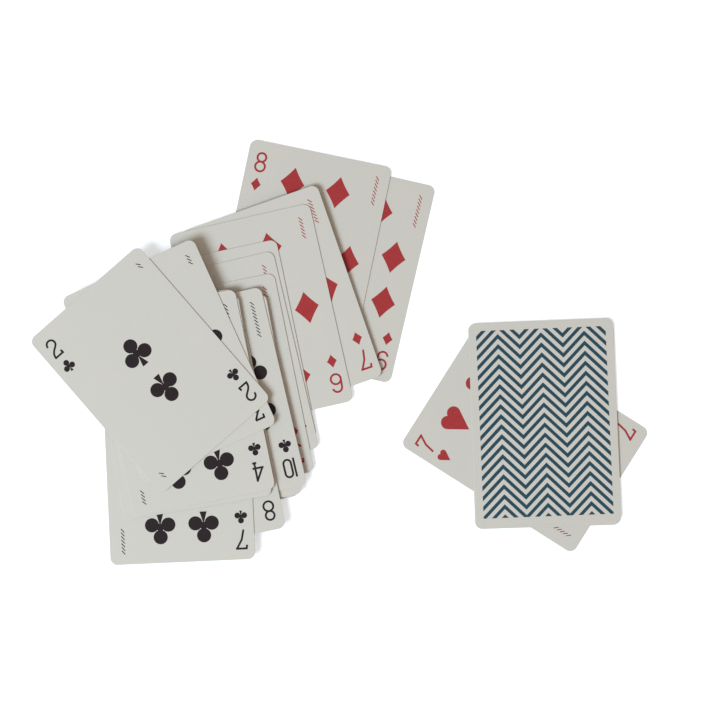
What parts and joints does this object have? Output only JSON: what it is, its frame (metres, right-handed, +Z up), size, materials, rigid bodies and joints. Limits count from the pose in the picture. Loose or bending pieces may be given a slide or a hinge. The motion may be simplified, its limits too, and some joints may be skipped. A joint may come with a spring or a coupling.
{
  "type": "playing card deck",
  "caption": "Loose playing cards laid out on a table: a leaning face-up spread of clubs and diamonds, and face-down cards lying across a face-up heart.",
  "frame": {"origin": "on the table, under the middle of the layout's bounding box", "axes": "+Z up from the table, +X along the layout's length from the spread to the face-down cards, +Y away from the player"},
  "size_m": [0.269, 0.1868, 0.0081],
  "materials": {
    "card_stock": "linen-embossed, satin varnish",
    "black_ink": "offset print under satin varnish",
    "red_ink": "offset print under satin varnish",
    "teal_ink": "offset print under satin varnish"
  },
  "bodies": {
    "nine_of_diamonds": {"nine_of_diamonds": "card_stock", "nine_of_diamonds_print": "red_ink"},
    "eight_of_diamonds": {"eight_of_diamonds": "card_stock", "eight_of_diamonds_print": "red_ink"},
    "seven_of_diamonds": {"seven_of_diamonds": "card_stock", "seven_of_diamonds_print": "red_ink"},
    "six_of_diamonds": {"six_of_diamonds": "card_stock", "six_of_diamonds_print": "red_ink"},
    "five_of_diamonds": {"five_of_diamonds": "card_stock", "five_of_diamonds_print": "red_ink"},
    "four_of_diamonds": {"four_of_diamonds": "card_stock", "four_of_diamonds_print": "red_ink"},
    "three_of_diamonds": {"three_of_diamonds": "card_stock", "three_of_diamonds_print": "red_ink"},
    "two_of_diamonds": {"two_of_diamonds": "card_stock", "two_of_diamonds_print": "red_ink"},
    "ace_of_clubs": {"ace_of_clubs": "card_stock", "ace_of_clubs_print": "black_ink"},
    "king_of_clubs": {"king_of_clubs": "card_stock", "king_of_clubs_print": "black_ink"},
    "queen_of_clubs": {"queen_of_clubs": "card_stock", "queen_of_clubs_print": "black_ink"},
    "jack_of_clubs": {"jack_of_clubs": "card_stock", "jack_of_clubs_print": "black_ink"},
    "ten_of_clubs": {"ten_of_clubs": "card_stock", "ten_of_clubs_print": "black_ink"},
    "nine_of_clubs": {"nine_of_clubs": "card_stock", "nine_of_clubs_print": "black_ink"},
    "eight_of_clubs": {"eight_of_clubs": "card_stock", "eight_of_clubs_print": "black_ink"},
    "seven_of_clubs": {"seven_of_clubs": "card_stock", "seven_of_clubs_print": "black_ink"},
    "six_of_clubs": {"six_of_clubs": "card_stock", "six_of_clubs_print": "black_ink"},
    "five_of_clubs": {"five_of_clubs": "card_stock", "five_of_clubs_print": "black_ink"},
    "four_of_clubs": {"four_of_clubs": "card_stock", "four_of_clubs_print": "black_ink"},
    "three_of_clubs": {"three_of_clubs": "card_stock", "three_of_clubs_print": "black_ink"},
    "two_of_clubs": {"two_of_clubs": "card_stock", "two_of_clubs_print": "black_ink"},
    "seven_of_hearts": {"seven_of_hearts": "card_stock", "seven_of_hearts_print": "red_ink"},
    "lower_face_down_card": {"lower_face_down_card": "card_stock", "lower_face_down_card_print": "teal_ink"},
    "upper_face_down_card": {"upper_face_down_card": "card_stock", "upper_face_down_card_print": "teal_ink"}
  },
  "joints": [
    {"name": "eight_of_diamonds_draw", "type": "slide", "parent": "nine_of_diamonds", "child": "eight_of_diamonds", "axis": [0.2045, 0.9789, 0], "range_m": [0, 0.089]},
    {"name": "seven_of_diamonds_draw", "type": "slide", "parent": "nine_of_diamonds", "child": "seven_of_diamonds", "axis": [-0.329, 0.9442, 0.0165], "range_m": [0, 0.089]},
    {"name": "six_of_diamonds_draw", "type": "slide", "parent": "nine_of_diamonds", "child": "six_of_diamonds", "axis": [-0.22, 0.9753, 0.0187], "range_m": [0, 0.089]},
    {"name": "five_of_diamonds_draw", "type": "slide", "parent": "nine_of_diamonds", "child": "five_of_diamonds", "axis": [-0.2046, 0.9787, 0.019], "range_m": [0, 0.089]},
    {"name": "four_of_diamonds_draw", "type": "slide", "parent": "nine_of_diamonds", "child": "four_of_diamonds", "axis": [-0.2302, 0.973, 0.0185], "range_m": [0, 0.089]},
    {"name": "three_of_diamonds_draw", "type": "slide", "parent": "nine_of_diamonds", "child": "three_of_diamonds", "axis": [-0.2012, 0.9794, 0.0191], "range_m": [0, 0.089]},
    {"name": "two_of_diamonds_draw", "type": "slide", "parent": "nine_of_diamonds", "child": "two_of_diamonds", "axis": [-0.1909, 0.9814, 0.0193], "range_m": [0, 0.089]},
    {"name": "ace_of_clubs_draw", "type": "slide", "parent": "nine_of_diamonds", "child": "ace_of_clubs", "axis": [-0.1995, 0.9797, 0.0191], "range_m": [0, 0.089]},
    {"name": "king_of_clubs_draw", "type": "slide", "parent": "nine_of_diamonds", "child": "king_of_clubs", "axis": [-0.1909, 0.9814, 0.0193], "range_m": [0, 0.089]},
    {"name": "queen_of_clubs_draw", "type": "slide", "parent": "nine_of_diamonds", "child": "queen_of_clubs", "axis": [-0.1995, 0.9797, 0.0191], "range_m": [0, 0.089]},
    {"name": "jack_of_clubs_draw", "type": "slide", "parent": "nine_of_diamonds", "child": "jack_of_clubs", "axis": [-0.1841, 0.9827, 0.0194], "range_m": [0, 0.089]},
    {"name": "ten_of_clubs_draw", "type": "slide", "parent": "nine_of_diamonds", "child": "ten_of_clubs", "axis": [-0.2302, 0.973, 0.0185], "range_m": [0, 0.089]},
    {"name": "nine_of_clubs_draw", "type": "slide", "parent": "nine_of_diamonds", "child": "nine_of_clubs", "axis": [-0.1995, 0.9797, 0.0191], "range_m": [0, 0.089]},
    {"name": "eight_of_clubs_draw", "type": "slide", "parent": "nine_of_diamonds", "child": "eight_of_clubs", "axis": [-0.2012, 0.9794, 0.0191], "range_m": [0, 0.089]},
    {"name": "seven_of_clubs_draw", "type": "slide", "parent": "nine_of_diamonds", "child": "seven_of_clubs", "axis": [-0.0473, 0.9986, 0.0217], "range_m": [0, 0.089]},
    {"name": "six_of_clubs_draw", "type": "slide", "parent": "nine_of_diamonds", "child": "six_of_clubs", "axis": [-0.1669, 0.9858, 0.0197], "range_m": [0, 0.089]},
    {"name": "five_of_clubs_draw", "type": "slide", "parent": "nine_of_diamonds", "child": "five_of_clubs", "axis": [-0.1721, 0.9849, 0.0196], "range_m": [0, 0.089]},
    {"name": "four_of_clubs_draw", "type": "slide", "parent": "nine_of_diamonds", "child": "four_of_clubs", "axis": [-0.2029, 0.979, 0.019], "range_m": [0, 0.089]},
    {"name": "three_of_clubs_draw", "type": "slide", "parent": "nine_of_diamonds", "child": "three_of_clubs", "axis": [-0.4148, 0.9098, 0.0145], "range_m": [0, 0.089]},
    {"name": "two_of_clubs_draw", "type": "slide", "parent": "nine_of_diamonds", "child": "two_of_clubs", "axis": [-0.6574, 0.7535, 0.0077], "range_m": [0, 0.089]},
    {"name": "seven_of_hearts_draw", "type": "slide", "parent": "nine_of_diamonds", "child": "seven_of_hearts", "axis": [0.8453, -0.5344, 0], "range_m": [0, 0.089]},
    {"name": "lower_face_down_card_draw", "type": "slide", "parent": "nine_of_diamonds", "child": "lower_face_down_card", "axis": [0.0332, -0.9995, 0], "range_m": [0, 0.089]},
    {"name": "upper_face_down_card_turn_over", "type": "hinge", "parent": "nine_of_diamonds", "child": "upper_face_down_card", "pos_m": [0.12153, -0.02961, 0.00104], "axis": [-0.0401, 0.9992, 0], "range_deg": [0, 180]}
  ]
}
